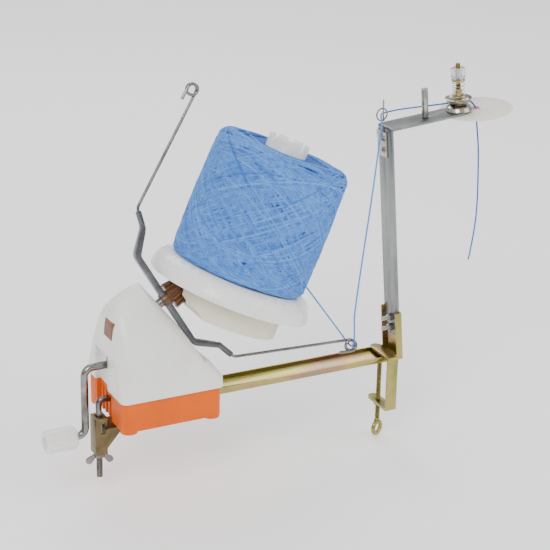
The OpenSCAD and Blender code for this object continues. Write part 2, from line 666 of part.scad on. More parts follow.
// ---- Crank -----------------------------------------------------------------------------------
crank_arm_x = -78;
crank_bend = 9;
knob_x0 = -89;
module crank_rod() color([0.75, 0.74, 0.72]) union() {
    r = crank_d / 2;
    translate([crank_arm_x + crank_bend, 0, crank_z]) rotate([0, 90, 0])
        cylinder(r = r, h = crank_end_x - crank_arm_x - crank_bend);
    wire_bend([crank_arm_x + crank_bend, 0, crank_z - crank_bend], crank_bend, r, 90, 90);
    translate([crank_arm_x, 0, crank_z - crank_throw + crank_bend])
        cylinder(r = r, h = crank_throw - 2 * crank_bend);
    wire_bend([crank_arm_x - crank_bend, 0, crank_z - crank_throw + crank_bend], crank_bend, r, 270, 90);
    // pin that the knob turns on
    translate([knob_x0 - knob_len + 8, 0, crank_z - crank_throw]) rotate([0, 90, 0])
        cylinder(r = knob_pin_r, h = knob_len + crank_arm_x - crank_bend - knob_x0 - 8 + 1);
    translate([knob_x0, 0, crank_z - crank_throw]) rotate([0, 90, 0])
        cylinder(r = r, h = crank_arm_x - crank_bend - knob_x0);
}
knob_pin_r = 3;
crank_gear_x = crank_apex_x + gear_near;
crank_hub_r = 9;
module crank_gear() color([0.9, 0.89, 0.84]) in_crank()
    bevel_gear(crank_teeth, crank_angle, gear_near, gear_far, 180 / crank_teeth, wide_gear, crank_hub_r);
module crank_hub() color([0.9, 0.89, 0.84]) in_crank() tube(crank_hub_r, crank_d / 2, gear_near - 6, gear_far + 4);
module crank_clip() color([0.6, 0.6, 0.6])
    translate([right_plate_x + 8.2, 0, crank_z]) rotate([0, 90, 0])
        tube(crank_d / 2 + 2.6, crank_d / 2, 0, 1.6);
module knob_screw() color([0.75, 0.74, 0.72])
    translate([knob_x0 - knob_len + 8, 0, crank_z - crank_throw]) rotate([0, -90, 0])
        difference() {
            cylinder(r = 4.6, h = 2.4);
            translate([-5, -0.6, 1.2]) cube([10, 1.2, 3]);
        }
module crank_knob() color([0.94, 0.94, 0.93])
    translate([knob_x0 - 0.3, 0, crank_z - crank_throw]) rotate([0, -90, 0]) difference() {
        rotate_extrude() polygon([[knob_pin_r + run, 0], [knob_d / 2 - 2, 0], [knob_d / 2, 2],
            [knob_d / 2, knob_len - 1.5], [knob_d / 2 - 1.5, knob_len], [6.5, knob_len],
            [6.5, knob_len - 9], [knob_pin_r + run, knob_len - 9]]);
        // grip flutes
        for (a = [0:30:330]) rotate([0, 0, a]) translate([knob_d / 2 + 1.2, 0, 3.5])
            cylinder(r = 2.2, h = knob_len - 7);
    }

// ---- Flyer ---------------------------------------------------------------------------------------
pinion_near = 72;
pinion_far = 87;
flyer_shaft_lo = -crank_back + pinion_near;
hub_s = -bar_t / 2;
module flyer_shaft() color([0.72, 0.73, 0.75]) in_flyer()
    tube(shaft_r, spindle_d / 2 + run, flyer_shaft_lo, 4);
module flyer_pinion() color([0.85, 0.83, 0.76]) in_flyer() translate([0, 0, -crank_back])
    bevel_gear(pinion_teeth, pinion_angle, pinion_near, pinion_far, 0, wide_gear, shaft_r);
// Brown moulded hub: a block that the bar sits in and a sleeve inside the front pinion
sleeve_pin_r = 7.5;
module flyer_hub() color([0.45, 0.28, 0.12]) in_flyer() difference() {
    union() {
        rotate([0, 0, flyer_turn]) translate([-7, -bar_w / 2 - 2.4, hub_s - 2.5])
            cube([14, bar_w + 4.8, bar_t + 3.2]);
        rod(shaft_r + 2.6, hub_s - 5, 2);
        rod(sleeve_pin_r, 1, front_dist - front_gear_near);
    }
    rod(shaft_r, -20, 4);
    rod(spindle_d / 2 + run, 0, 40);
    rotate([0, 0, flyer_turn]) translate([-100, -bar_w / 2, hub_s]) cube([200, bar_w, bar_t]);
}
module front_pinion() color([0.45, 0.28, 0.12]) in_flyer() translate([0, 0, front_dist]) mirror([0, 0, 1])
    bevel_gear(front_teeth, front_angle, front_gear_near, front_pinion_far, 0, wide_gear, sleeve_pin_r);
bend1 = [bar_reach, 0];
bend2 = [81, 23];
tip = [95, 26];
eye_at = [166, 134.5];
module bar_piece(a, b, w) {
    d = b - a;
    translate([a[0], 0, a[1]]) rotate([0, -atan2(d[1], d[0]), 0])
        translate([0, -w / 2, -bar_t / 2]) cube([norm(d), w, bar_t]);
}
module flyer_bar() color([0.45, 0.46, 0.47]) in_flyer() rotate([0, 0, flyer_turn]) difference() {
    union() {
        for (m = [0, 1]) mirror([m, 0, 0]) {
            bar_piece([0, 0], bend1, bar_w);
            bar_piece(bend1, bend2, bar_w);
            for (p = [bend1, bend2]) translate([p[0], 0, p[1]]) rotate([90, 0, 0])
                translate([0, 0, -(p == bend1 ? bar_w : 8) / 2]) cylinder(r = bar_t / 2, h = p == bend1 ? bar_w : 8);
            // crimped end that grips the wire
            translate([bend2[0], 0, bend2[1]]) rotate([0, 90 - atan2(tip[1] - bend2[1], tip[0] - bend2[0]), 0])
                cylinder(d = wire_d + 3.4, h = norm(tip - bend2) + 1);
        }
    }
    // long groove pressed into the face
    for (m = [0, 1]) mirror([m, 0, 0]) translate([9, -0.9, bar_t / 2 - 0.9]) cube([bar_reach - 12, 1.8, 2]);
    for (m = [0, 1]) mirror([m, 0, 0])
        translate([tip[0], 0, tip[1]]) rotate([0, 90 - atan2(tip[1] - bend2[1], tip[0] - bend2[0]), 0])
            translate([0, 0, -8]) cylinder(d = wire_d, h = 12);
    rod(shaft_r, -10, 10);
}
// A guide: straight wire from the crimp, bent towards the front, and a coiled eye
module guide_wire() {
    a = tip;
    w = wire_d / 2;
    lead = atan2(tip[1] - bend2[1], tip[0] - bend2[0]);
    dir = atan2(eye_at[1] - a[1] - 3, eye_at[0] - a[0] - 4);
    knee = a + 4 * [cos(lead), sin(lead)];
    translate([a[0], 0, a[1]]) rotate([0, 90 - lead, 0]) translate([0, 0, -7.9]) cylinder(r = w, h = 11.9);
    translate([knee[0], 0, knee[1]]) sphere(r = w);
    run_len = norm(eye_at - knee) - eye_d / 2 + w;
    aim = atan2(eye_at[1] - knee[1], eye_at[0] - knee[0]);
    translate([knee[0], 0, knee[1]]) rotate([0, 90 - aim, 0]) cylinder(r = w - 0.1, h = run_len);
    ring = eye_d / 2 - w;
    eye_c = eye_at;
    translate([eye_c[0], 0, eye_c[1]]) rotate([90, 0, 0]) rotate_extrude() translate([ring, 0]) circle(r = w);
    // tail of the coil, turned back beside the shank
    tail = aim + 205;
    translate([eye_c[0] + ring * cos(tail - 90), 0, eye_c[1] + ring * sin(tail - 90)])
        rotate([0, 90 - tail, 0]) cylinder(r = w - 0.1, h = 12);
}
module flyer_wires() color([0.62, 0.61, 0.6]) in_flyer() rotate([0, 0, flyer_turn])
    for (m = [0, 1]) mirror([m, 0, 0]) guide_wire();

// ---- Spool -------------------------------------------------------------------------------------------
ball_low = -40;
flange_plate = ball_low - 0.4;
flange_lip = -63;
rim = flange_d / 2;
hub_top = -48;
spool_hub_r = 15;
module spool_flange() color([0.95, 0.95, 0.94]) in_spool()
    rotate_extrude($fn = 96) polygon([
        [axle_d / 2 + run, flange_plate], [rim - 15, flange_plate], [rim - 9, flange_plate - 2.2],
        [rim - 4.5, flange_plate - 6.5], [rim - 1.6, flange_plate - 13], [rim, flange_lip + 2.6],
        [rim - 0.8, flange_lip + 0.4], [rim - 2.4, flange_lip], [rim - 4.2, flange_lip + 1],
        [rim - 4.4, flange_lip + 4], [rim - 5.4, flange_plate - 12.6 - flange_wall * 0.5],
        [rim - 7.4, flange_plate - 8 - flange_wall * 0.6], [rim - 11, flange_plate - 3.6 - flange_wall * 0.7],
        [rim - 15.5, flange_plate - flange_wall], [24, flange_plate - flange_wall],
        [24, hub_top], [spool_hub_r, hub_top], [spool_hub_r, -spool_far - 1.5],
        [axle_d / 2 + run, -spool_far - 1.5]]);
module spool_gear() color([0.82, 0.8, 0.72]) in_spool() mirror([0, 0, 1])
    bevel_gear(spool_teeth, spool_angle, spool_near, spool_far, 180 / spool_teeth, wide_gear, spool_hub_r);
spool_near = front_gear_near / cos(front_angle) * cos(spool_angle);
spool_far = front_gear_far / cos(front_angle) * cos(spool_angle);
core_low = flange_plate;
core_high = 109;
core_wall = 2.4;
core_rim_h = 11;
core_notches = 8;
module spool_core() color([0.94, 0.94, 0.93]) in_spool() difference() {
    union() {
        translate([0, 0, core_low]) cylinder(d1 = core_d_low, d2 = core_d_high, h = core_high - core_low);
    }
    translate([0, 0, core_low + core_wall])
        cylinder(d1 = core_d_low - 2 * core_wall, d2 = core_d_high - 2 * core_wall, h = core_high - core_low - core_wall - core_rim_h);
    rod(core_d_high / 2 - core_wall, core_high - core_rim_h + 2.5, core_high + 1);
    for (k = [0:core_notches - 1]) rotate([0, 0, 360 * k / core_notches + 10])
        translate([core_d_high / 2 - 6, -3, core_high - 6]) cube([12, 6, 8]);
    rod(axle_d / 2 + run, -200, 200);
}
module core_cap() color([0.85, 0.85, 0.83]) in_spool() difference() {
    union() {
        rod(9, core_high - core_rim_h + 2.5, core_high - core_rim_h + 5);
        rod(6, core_high - core_rim_h + 5, core_high - 2);
    }
    rod(axle_d / 2 + run, 0, axle_high + 0.5);
}
ball_round = 10;
module yarn_ball() color([0.31, 0.53, 0.84]) in_spool() translate([0, 0, ball_low]) difference() {
    rotate_extrude($fn = 96) polygon(concat(
        [[10, 0], [ball_d_low / 2 - 14, 0]],
        [for (a = [-90:15:0]) [ball_d_low / 2 - ball_round + ball_round * cos(a), 7 + 7 * sin(a)]],
        [[(ball_d_low + ball_d_high) / 4 + 1, ball_h / 2]],
        [for (a = [0:15:90]) [ball_d_high / 2 - ball_round + ball_round * cos(a), ball_h - 9 + 9 * sin(a)]],
        [[10, ball_h + 2]]));
    translate([0, 0, core_low - ball_low]) cylinder(d1 = core_d_low, d2 = core_d_high, h = core_high - core_low);
}

// ---- Clamp at the crank end --------------------------------------------------------------------------------
hook_x = -63;
hook_bend = 5;
hook_low = -66;
jaw_top = -6;
jaw_low = -38;
hook_at = hook_hole_z - hook_bend;
module hook_bolt() color([0.74, 0.73, 0.71]) union() {
    r = hook_d / 2;
    translate([hook_x, 0, hook_low]) cylinder(r = r, h = hook_at - hook_low);
    wire_bend([hook_x + hook_bend, 0, hook_at], hook_bend, r, 90, 90);
    // end that lies in the hole of the tray's wall
    translate([hook_x + hook_bend, 0, hook_hole_z]) rotate([0, 90, 0]) cylinder(r = r, h = 11);
}
jaw_reach = -37;
jaw_t = 2.5;
jaw_half = 8;
module clamp_jaw() color([0.46, 0.37, 0.22]) difference() {
    union() {
        // channel that wraps the bolt
        translate([hook_x - 6.5, -jaw_half, jaw_low]) cube([13, 2 * jaw_half, 42]);
        // jaw that reaches under the table
        translate([hook_x, -jaw_half - 6, jaw_top - jaw_t]) cube([jaw_reach - hook_x, 2 * jaw_half + 12, jaw_t]);
        // two gussets
        for (j = [-1, 1]) translate([0, j * (jaw_half - 1) + 1, 0]) rotate([90, 0, 0]) linear_extrude(2)
            polygon([[hook_x, jaw_top - 1], [jaw_reach, jaw_top - 1], [jaw_reach, jaw_top - jaw_t], [hook_x + 6, jaw_top - 26], [hook_x, jaw_top - 26]]);
    }
    // inside of the channel, open towards the table
    translate([hook_x - 4, -jaw_half + 2, jaw_low + 3]) cube([14, 2 * jaw_half - 4, 36 - 3]);
    translate([hook_x, 0, -100]) cylinder(r = hook_d / 2 + slip, h = 200);
    // windows in the sides
    translate([hook_x - 1, -20, -14]) cube([5, 40, 11]);
}
nut_h = 5;
module wing_nut() color([0.7, 0.69, 0.67]) translate([hook_x, 0, jaw_low]) difference() {
    union() {
        translate([0, 0, -nut_h]) cylinder(r1 = 5.4, r2 = 6.2, h = nut_h);
        for (m = [0, 1]) mirror([0, m, 0]) hull() {
            translate([0, 4.6, -nut_h + 1.6]) rotate([0, 90, 0]) cylinder(r = 1.6, h = 2.6, center = true, $fn = 24);
            translate([0, 11, -nut_h - 4]) rotate([0, 90, 0]) cylinder(r = 3.6, h = 2.2, center = true, $fn = 24);
        }
    }
    rod(hook_d / 2 + run, -20, 20);
}

// ---- Clamp on the beam ------------------------------------------------------------------------------------------
strap_x = 272;
strap_y = -28.5;
strap_far = 16;
strap_top = beam_z + beam_flange + 0.2;
strap_low = beam_z - strap_throat - strap_t;
module strap_jaw(z) translate([strap_x, 0, z]) {
    translate([-strap_w / 2, strap_y, 0]) cube([strap_w, strap_far - strap_w / 2 - strap_y, strap_t]);
    translate([0, strap_far - strap_w / 2, 0]) cylinder(d = strap_w, h = strap_t);
}
module clamp_strap() color([0.72, 0.66, 0.38]) difference() {
    union() {
        strap_jaw(strap_top);
        strap_jaw(strap_low);
        translate([strap_x - strap_w / 2, strap_y, strap_low]) cube([strap_w, strap_t, strap_top - strap_low + strap_t]);
        translate([strap_x, 0, strap_low - 3]) cylinder(d = 10, h = 4);
    }
    translate([strap_x, 0, strap_low - 10]) cylinder(r = eye_screw_d / 2 + run, h = 30);
    // rounded outer corners
    for (z = [strap_low, strap_top + strap_t]) translate([strap_x - 20, strap_y, z])
        rotate([0, 90, 0]) rotate([0, 0, 45]) translate([-1.2, -1.2, 0]) cube([2.4, 2.4, 40]);
}
pad_h = 4;
pad_top = beam_z - 0.05;
module clamp_pad() color([0.45, 0.42, 0.36]) translate([strap_x, 0, pad_top - pad_h]) difference() {
    union() {
        translate([0, 0, pad_h - 1.4]) cylinder(d = 12, h = 1.4);
        cylinder(d1 = 9, d2 = 11, h = pad_h - 1.4);
    }
    translate([0, 0, -1]) cylinder(r = eye_screw_d / 2 + run, h = pad_h - 0.6);
}
ring_z = -78;
ring_r = 7;
module eye_screw() color([0.66, 0.6, 0.36]) translate([strap_x, 0, 0]) union() {
    translate([0, 0, ring_z + ring_r]) cylinder(r = eye_screw_d / 2, h = pad_top - pad_h - 1 + pad_h - 0.8 - ring_z - ring_r);
    translate([0, 0, ring_z]) rotate([90, 0, 25]) rotate_extrude() translate([ring_r, 0]) circle(r = 2.4);
    translate([0, 0, ring_z + ring_r + 1]) cylinder(r1 = 4, r2 = eye_screw_d / 2, h = 3);
}

// ---- Yarn --------------------------------------------------------------------------------------------------------------
// Route from the flyer's lower eye up to the guide, through the tension and the
// eyelet, and down to its cut end
feed_route = [
    [214, -29, 43], [216, -28, 50], [222, -25, 78], [232, -19, 128], [242, -13, 178],
    [252, -7, 232], [259, -1, 272], [261, 3, 284], [264, 9, 286], [272, 16, 286],
    [290, 17, 287], [312, 15, 288], [334, 10.6, 289.4], [344, 8, 290.45], [355.6, 6.3, 291.42],
    [366, 6.6, 292.35], [371.5, 5.4, 292.4], [376, 2.4, 288], [378.4, 0.4, 283], [379.4, 0, 275], [382, 0, 258],
    [385, 0, 236], [387, 0, 205], [388, 0, 175], [387, 0, 148], [383, 0, 118], [381, 0, 108]
];
module yarn_feed() color([0.28, 0.5, 0.82]) cord(smooth(feed_route, 3), yarn_d / 2);
strand_route = [
    [176, -38, 106], [182, -37, 96], [190, -35, 82], [200, -32, 64], [208, -30, 50], [213, -29, 44]
];
module yarn_strand() color([0.28, 0.5, 0.82]) cord(smooth(strand_route, 3), yarn_d / 2);

base_tray();
cover();
label_plate();
gear_frame();
frame_screws();
crank_bushes();
flyer_bush();
fixed_spindle();
gear_carrier();
spool_axle();
beam();
beam_screws();
mast();
mast_bolts();
mast_nuts();
guide_clip();
guide_screws();
pigtail_guide();
guide_post();
tension_stud();
tension_sleeve();
lower_saucer();
guide_disc();
disc_eyelet();
tension_spring();
yarn_feed();
crank_rod();
crank_gear();
crank_hub();
crank_clip();
knob_screw();
crank_knob();
flyer_shaft();
flyer_pinion();
flyer_bar();
flyer_hub();
front_pinion();
flyer_wires();
yarn_strand();
spool_flange();
spool_gear();
spool_core();
core_cap();
yarn_ball();
hook_bolt();
clamp_jaw();
wing_nut();
clamp_strap();
clamp_pad();
eye_screw();
upper_saucer();
spring_seat();
tension_knob();
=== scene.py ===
import bpy
import json
import math
import numpy as np
from mathutils import Matrix, Vector

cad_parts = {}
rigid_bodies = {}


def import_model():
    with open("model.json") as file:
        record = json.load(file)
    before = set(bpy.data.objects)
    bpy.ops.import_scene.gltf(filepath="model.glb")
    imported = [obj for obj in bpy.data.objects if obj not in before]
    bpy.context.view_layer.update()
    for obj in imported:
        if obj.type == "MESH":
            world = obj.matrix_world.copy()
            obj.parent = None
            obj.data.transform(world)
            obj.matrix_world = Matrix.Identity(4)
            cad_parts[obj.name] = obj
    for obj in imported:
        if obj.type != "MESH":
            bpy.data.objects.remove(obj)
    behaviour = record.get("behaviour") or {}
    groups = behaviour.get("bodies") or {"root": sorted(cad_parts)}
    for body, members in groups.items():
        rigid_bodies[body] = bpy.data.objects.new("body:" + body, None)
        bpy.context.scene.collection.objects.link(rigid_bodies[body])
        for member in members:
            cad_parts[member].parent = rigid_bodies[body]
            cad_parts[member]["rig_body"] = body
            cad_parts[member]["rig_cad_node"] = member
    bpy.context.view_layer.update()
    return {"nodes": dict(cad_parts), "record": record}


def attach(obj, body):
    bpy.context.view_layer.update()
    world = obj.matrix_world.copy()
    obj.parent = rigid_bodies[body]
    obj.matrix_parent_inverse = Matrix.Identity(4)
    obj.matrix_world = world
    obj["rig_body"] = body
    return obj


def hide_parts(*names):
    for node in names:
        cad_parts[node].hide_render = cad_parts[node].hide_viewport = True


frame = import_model()
nodes = frame["nodes"]

# ---------------------------------------------------------------- places
FLYER_TILT = math.radians(29)
SPOOL_TILT = math.radians(66.5)
FLYER_CENTRE = Vector((0.0145, 0, 0.1226))
SPOOL_APEX = FLYER_CENTRE + 0.108 * Vector((math.cos(FLYER_TILT), 0, math.sin(FLYER_TILT)))
SPOOL_FRAME = Matrix.Translation(SPOOL_APEX) @ Matrix.Rotation(math.pi / 2 - SPOOL_TILT, 4, "Y")
MAST_LEAN = math.radians(5)


# ---------------------------------------------------------------- camera
def place_camera():
    turn, rise, roll = math.radians(27.42), math.radians(21.39), math.radians(1.28)
    right = Vector((math.cos(turn), -math.sin(turn), 0))
    ahead = Vector((math.sin(turn) * math.cos(rise), math.cos(turn) * math.cos(rise), -math.sin(rise)))
    up = right.cross(ahead)
    side = right * math.cos(roll) + up * math.sin(roll)
    top = up * math.cos(roll) - right * math.sin(roll)
    data = bpy.data.cameras.new("camera")
    data.lens = 115.33
    data.sensor_width = 36
    data.clip_end = 50
    camera = bpy.data.objects.new("camera", data)
    bpy.context.scene.collection.objects.link(camera)
    pose = Matrix((side, top, -ahead)).transposed().to_4x4()
    camera.matrix_world = Matrix.Translation((-0.6591, -1.5369, 0.8060)) @ pose
    bpy.context.scene.camera = camera


place_camera()


# ---------------------------------------------------------------- working with pieces
def deselect_all():
    if bpy.context.mode != "OBJECT":
        bpy.ops.object.mode_set(mode="OBJECT")
    bpy.ops.object.select_all(action="DESELECT")


def take(piece):
    deselect_all()
    piece.select_set(True)
    bpy.context.view_layer.objects.active = piece
    return piece


def apply_modifiers(piece):
    take(piece)
    for modifier in list(piece.modifiers):
        bpy.ops.object.modifier_apply(modifier=modifier.name)


def settle(piece):
    take(piece)
    bpy.ops.object.transform_apply(location=True, rotation=True, scale=True)


def dress(piece, material):
    piece.data.materials.clear()
    piece.data.materials.append(material)


def body_of(node):
    return next(b for b, members in frame["record"]["behaviour"]["bodies"].items() if node in members)


def eased_copy(node, name, material, edge=0.0004, angle=32):
    """The node's own shape with its sharp edges rounded over and its curves smooth."""
    piece = nodes[node].copy()
    piece.data = nodes[node].data.copy()
    piece.name = name
    piece.parent = None
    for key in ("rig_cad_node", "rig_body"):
        if key in piece:
            del piece[key]
    bpy.context.scene.collection.objects.link(piece)
    take(piece)
    bpy.ops.object.mode_set(mode="EDIT")
    bpy.ops.mesh.select_all(action="SELECT")
    bpy.ops.mesh.remove_doubles(threshold=0.000004)
    bpy.ops.mesh.dissolve_limited(angle_limit=math.radians(0.6))
    bpy.ops.object.mode_set(mode="OBJECT")
    if edge > 0:
        bevel = piece.modifiers.new("edges", "BEVEL")
        bevel.width = edge
        bevel.segments = 2
        bevel.limit_method = "ANGLE"
        bevel.angle_limit = math.radians(angle)
        bevel.use_clamp_overlap = True
        apply_modifiers(piece)
    take(piece)
    bpy.ops.object.shade_smooth_by_angle(angle=math.radians(angle))
    dress(piece, material)
    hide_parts(node)
    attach(piece, body_of(node))
    return piece


# ---------------------------------------------------------------- materials
def new_material(name):
    material = bpy.data.materials.new(name)
    material.use_nodes = True
    tree = material.node_tree
    shader = tree.nodes["Principled BSDF"]
    return material, tree, shader


def object_space(tree, scale=(1, 1, 1), turn=(0, 0, 0)):
    coords = tree.nodes.new("ShaderNodeTexCoord")
    mapping = tree.nodes.new("ShaderNodeMapping")
    mapping.inputs["Scale"].default_value = scale
    mapping.inputs["Rotation"].default_value = turn
    tree.links.new(coords.outputs["Object"], mapping.inputs["Vector"])
    return mapping.outputs["Vector"]


def noise(tree, vector, scale, detail=4, rough=0.55, distort=0.0):
    node = tree.nodes.new("ShaderNodeTexNoise")
    node.inputs["Scale"].default_value = scale
    node.inputs["Detail"].default_value = detail
    node.inputs["Roughness"].default_value = rough
    node.inputs["Distortion"].default_value = distort
    tree.links.new(vector, node.inputs["Vector"])
    return node.outputs["Fac"]


def tones(tree, factor, stops):
    ramp = tree.nodes.new("ShaderNodeValToRGB")
    ramp.color_ramp.elements[0].position = stops[0][0]
    ramp.color_ramp.elements[0].color = (*stops[0][1], 1)
    ramp.color_ramp.elements[1].position = stops[-1][0]
    ramp.color_ramp.elements[1].color = (*stops[-1][1], 1)
    for place, colour in stops[1:-1]:
        ramp.color_ramp.elements.new(place).color = (*colour, 1)
    tree.links.new(factor, ramp.inputs["Fac"])
    return ramp.outputs["Color"]


def spread(tree, factor, low, high, from_low=0.3, from_high=0.7):
    node = tree.nodes.new("ShaderNodeMapRange")
    node.inputs["From Min"].default_value = from_low
    node.inputs["From Max"].default_value = from_high
    node.inputs["To Min"].default_value = low
    node.inputs["To Max"].default_value = high
    tree.links.new(factor, node.inputs["Value"])
    return node.outputs["Result"]


def calc(tree, operation, first, second, third=None):
    """A maths node; each input is another node's output or a number."""
    node = tree.nodes.new("ShaderNodeMath")
    node.operation = operation
    for socket, value in zip(node.inputs, (first, second, third)):
        if isinstance(value, (int, float)):
            socket.default_value = value
        elif value is not None:
            tree.links.new(value, socket)
    return node.outputs[0]


def relief(tree, shader, factor, strength, depth, under=None):
    bump = tree.nodes.new("ShaderNodeBump")
    bump.inputs["Strength"].default_value = strength
    bump.inputs["Distance"].default_value = depth
    tree.links.new(factor, bump.inputs["Height"])
    if under is not None:
        tree.links.new(under, bump.inputs["Normal"])
    tree.links.new(bump.outputs["Normal"], shader.inputs["Normal"])
    return bump.outputs["Normal"]


def moulded(name, light, dark, rough=0.3, peel=0.25, coat=0.0, flow=(1, 1, 1), sub=0.0, gloss=0.5):
    """Injection-moulded plastic: soft flow marks, a fine orange-peel skin, handling marks in the gloss."""
    material, tree, shader = new_material(name)
    space = object_space(tree, flow)
    flow_marks = tones(tree, noise(tree, space, 22, 5), [(0.3, dark), (0.7, light)])
    tree.links.new(flow_marks, shader.inputs["Base Color"])
    scuffs = noise(tree, space, 140, 6, 0.7)
    tree.links.new(spread(tree, scuffs, rough - 0.05, rough + 0.09), shader.inputs["Roughness"])
    skin = relief(tree, shader, noise(tree, space, 420, 3), peel * 0.4, 0.0004)
    relief(tree, shader, noise(tree, space, 36, 2), peel, 0.0006, skin)
    shader.inputs["Specular IOR Level"].default_value = gloss
    shader.inputs["Coat Weight"].default_value = coat
    shader.inputs["Coat Roughness"].default_value = 0.12
    if sub:
        shader.inputs["Subsurface Weight"].default_value = sub
        shader.inputs["Subsurface Scale"].default_value = 0.004
    return material


def plated(name, stops, rough=0.24, patch=26, stretch=(1, 1, 1), drawn=(1, 1, 1), depth=0.12, metal=1.0,
           turn=(0, 0, 0)):
    """Plated steel: clouded plating over drawn or rolled lines."""
    material, tree, shader = new_material(name)
    clouds = noise(tree, object_space(tree, stretch, turn), patch, 5, 0.6, 0.4)
    tree.links.new(tones(tree, clouds, stops), shader.inputs["Base Color"])
    lines = noise(tree, object_space(tree, drawn, turn), 900, 4, 0.65)
    tree.links.new(spread(tree, lines, rough - 0.07, rough + 0.12), shader.inputs["Roughness"])
    relief(tree, shader, lines, depth, 0.0003)
    shader.inputs["Metallic"].default_value = metal
    return material


def threaded(name, stops, pitch, axis_turn, low, high, rough=0.26, phase_axis="Z"):
    """Plated rod with a screw thread cut over the stretch from low to high along its own length, its grooves
    darkened by painted shade.
    """
    material, tree, shader = new_material(name)
    space = object_space(tree, (1, 1, 1), axis_turn)
    clouds = noise(tree, space, 60, 4)
    wave = tree.nodes.new("ShaderNodeTexWave")
    wave.bands_direction = phase_axis
    wave.wave_profile = "TRI"
    wave.inputs["Scale"].default_value = 0.31416 / pitch
    wave.inputs["Distortion"].default_value = 0
    tree.links.new(space, wave.inputs["Vector"])
    split = tree.nodes.new("ShaderNodeSeparateXYZ")
    tree.links.new(space, split.inputs["Vector"])
    along = split.outputs[phase_axis]
    within = calc(tree, "MULTIPLY", calc(tree, "LESS_THAN", along, high), calc(tree, "GREATER_THAN", along, low))
    cut = calc(tree, "MULTIPLY", wave.outputs["Fac"], within)
    # painted shade: the base colour is darkened towards the bottom of each thread groove
    shade = tree.nodes.new("ShaderNodeMix")
    shade.data_type = "RGBA"
    shade.blend_type = "MULTIPLY"
    tree.links.new(tones(tree, clouds, stops), shade.inputs["A"])
    shade.inputs["B"].default_value = (0.35, 0.33, 0.3, 1)
    tree.links.new(cut, shade.inputs["Factor"])
    tree.links.new(shade.outputs["Result"], shader.inputs["Base Color"])
    relief(tree, shader, calc(tree, "SUBTRACT", 1, cut), 1.0, pitch * 0.5)
    shader.inputs["Metallic"].default_value = 1
    tree.links.new(spread(tree, clouds, rough - 0.06, rough + 0.1), shader.inputs["Roughness"])
    return material


def spun_yarn(name, light, mid, dark, ply=0.0026):
    """Two-ply wool: painted shade in the valleys between the plies, marled colour and a soft fibre halo."""
    material, tree, shader = new_material(name)
    coords = tree.nodes.new("ShaderNodeTexCoord")
    space = object_space(tree)
    marl = noise(tree, space, 150, 6, 0.7)
    fibre = noise(tree, space, 2600, 4, 0.75)
    wave = tree.nodes.new("ShaderNodeTexWave")
    wave.bands_direction = "DIAGONAL"
    wave.wave_profile = "SIN"
    wave.inputs["Scale"].default_value = 1.0
    wave.inputs["Distortion"].default_value = 1.2
    wave.inputs["Detail"].default_value = 2
    stretch = tree.nodes.new("ShaderNodeMapping")
    stretch.inputs["Scale"].default_value = (0.55, 0.31, 0)
    tree.links.new(coords.outputs["UV"], stretch.inputs["Vector"])
    tree.links.new(stretch.outputs["Vector"], wave.inputs["Vector"])
    # painted shade: the ply wave is mixed into the colour so the valleys between the plies come out darker
    blend = tree.nodes.new("ShaderNodeMix")
    blend.data_type = "FLOAT"
    blend.inputs["Factor"].default_value = 0.42
    tree.links.new(marl, blend.inputs["A"])
    tree.links.new(wave.outputs["Fac"], blend.inputs["B"])
    wraps = tree.nodes.new("ShaderNodeMapping")
    wraps.inputs["Scale"].default_value = (0.00137, 0, 0)
    tree.links.new(coords.outputs["UV"], wraps.inputs["Vector"])
    shift = calc(tree, "MULTIPLY_ADD", noise(tree, wraps.outputs["Vector"], 1.0, 0), 0.9, -0.45)
    total = calc(tree, "ADD", blend.outputs["Result"], shift)
    colour = tones(tree, total, [(0.22, dark), (0.48, mid), (0.75, light)])
    tree.links.new(colour, shader.inputs["Base Color"])
    plies = relief(tree, shader, wave.outputs["Fac"], 0.55, 0.0005)
    relief(tree, shader, fibre, 0.5, 0.0003, plies)
    shader.inputs["Roughness"].default_value = 0.9
    shader.inputs["Sheen Weight"].default_value = 0.12
    shader.inputs["Sheen Roughness"].default_value = 0.5
    shader.inputs["Sheen Tint"].default_value = (0.55, 0.72, 1, 1)
    shader.inputs["Specular IOR Level"].default_value = 0.15
    return material


YELLOW_ZINC = [
    (0.28, (0.15, 0.18, 0.07)), (0.42, (0.33, 0.3, 0.09)), (0.55, (0.42, 0.34, 0.12)),
    (0.66, (0.38, 0.22, 0.14)), (0.78, (0.21, 0.28, 0.16)),
]
BRIGHT_ZINC = [(0.3, (0.17, 0.18, 0.18)), (0.7, (0.31, 0.32, 0.31))]
CHROME = [(0.3, (0.12, 0.115, 0.105)), (0.7, (0.32, 0.31, 0.3))]

tray_orange = moulded("tray_orange", (0.78, 0.125, 0.002), (0.68, 0.1, 0.001), 0.42, 0.2, gloss=0.18)
cover_white = moulded("cover_white", (0.88, 0.87, 0.84), (0.82, 0.81, 0.77), 0.28, 0.18, 0.15, sub=0.04)
label_brown = moulded("label_brown", (0.23, 0.09, 0.03), (0.15, 0.055, 0.02), 0.42, 0.3)
drum_cream = moulded("drum_cream", (0.80, 0.77, 0.62), (0.73, 0.69, 0.53), 0.3, 0.2, 0.1, sub=0.05)
spool_white = moulded("spool_white", (0.87, 0.87, 0.85), (0.82, 0.82, 0.79), 0.27, 0.15, 0.2, sub=0.06)
knob_white = moulded("knob_white", (0.88, 0.88, 0.85), (0.8, 0.8, 0.76), 0.34, 0.3, sub=0.05)
gear_nylon = moulded("gear_nylon", (0.76, 0.73, 0.64), (0.68, 0.65, 0.55), 0.45, 0.25, sub=0.08)
hub_brown = moulded("hub_brown", (0.16, 0.065, 0.022), (0.1, 0.038, 0.012), 0.3, 0.3, 0.2)
guide_cream = moulded("guide_cream", (0.85, 0.82, 0.73), (0.78, 0.74, 0.64), 0.38, 0.2, sub=0.06)
eyelet_pink = moulded("eyelet_pink", (0.66, 0.3, 0.42), (0.5, 0.2, 0.34), 0.25, 0.2, 0.4)
